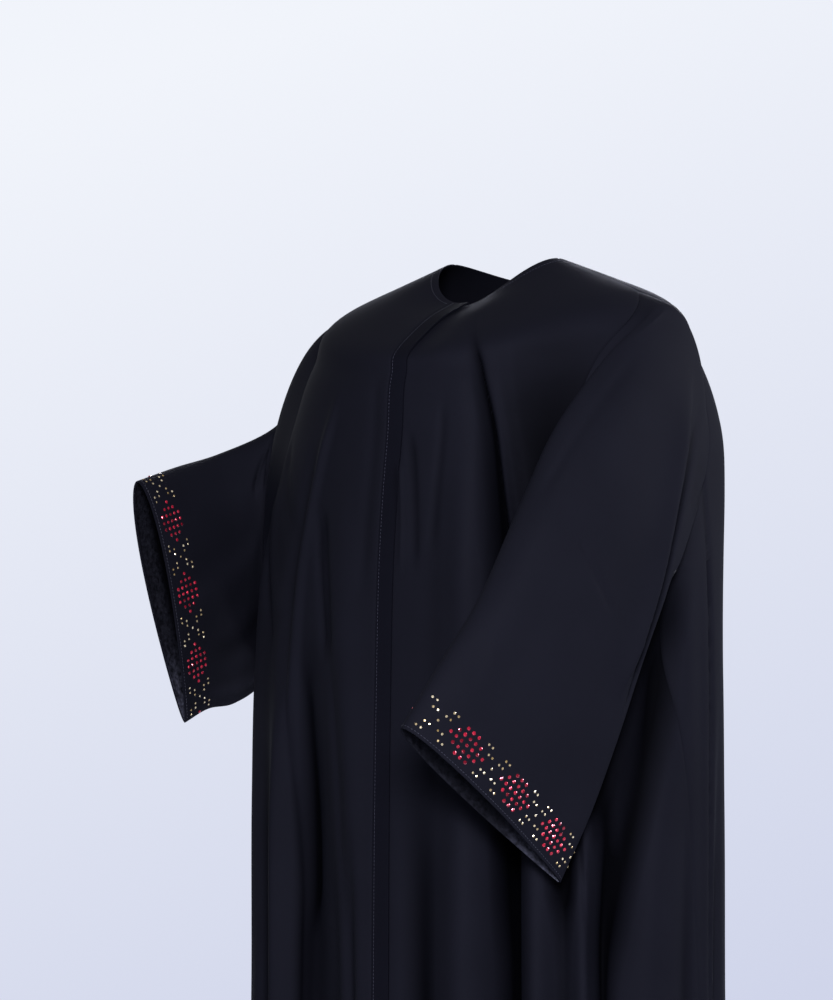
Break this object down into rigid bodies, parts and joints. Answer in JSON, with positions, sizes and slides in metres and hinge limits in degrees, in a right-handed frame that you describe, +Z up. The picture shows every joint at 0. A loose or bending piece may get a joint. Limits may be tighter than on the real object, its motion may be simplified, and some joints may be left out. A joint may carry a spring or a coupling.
{
  "type": "abaya",
  "caption": "Full-length abaya in worn form: open front with a placket band, wide sleeves held forward, open neck, hem and cuffs.",
  "frame": {"origin": "midway between the two points where neck and shoulder meet, where the wearer's shoulders carry the garment", "axes": "+Z up; the front faces -Y; +X is the wearer's left"},
  "size_m": [0.8017, 0.5908, 1.4202],
  "materials": {
    "crepe": "matt polyester crepe with a faint satin sheen",
    "band": "the same crepe, doubled and topstitched",
    "sleeve": "the same crepe, with red and gold stones in a band at the cuff"
  },
  "bodies": {
    "root": {"front_right": "crepe", "front_left": "crepe", "front_band": "band", "back": "crepe", "sleeve_right": "sleeve", "sleeve_left": "sleeve"}
  },
  "joints": []
}
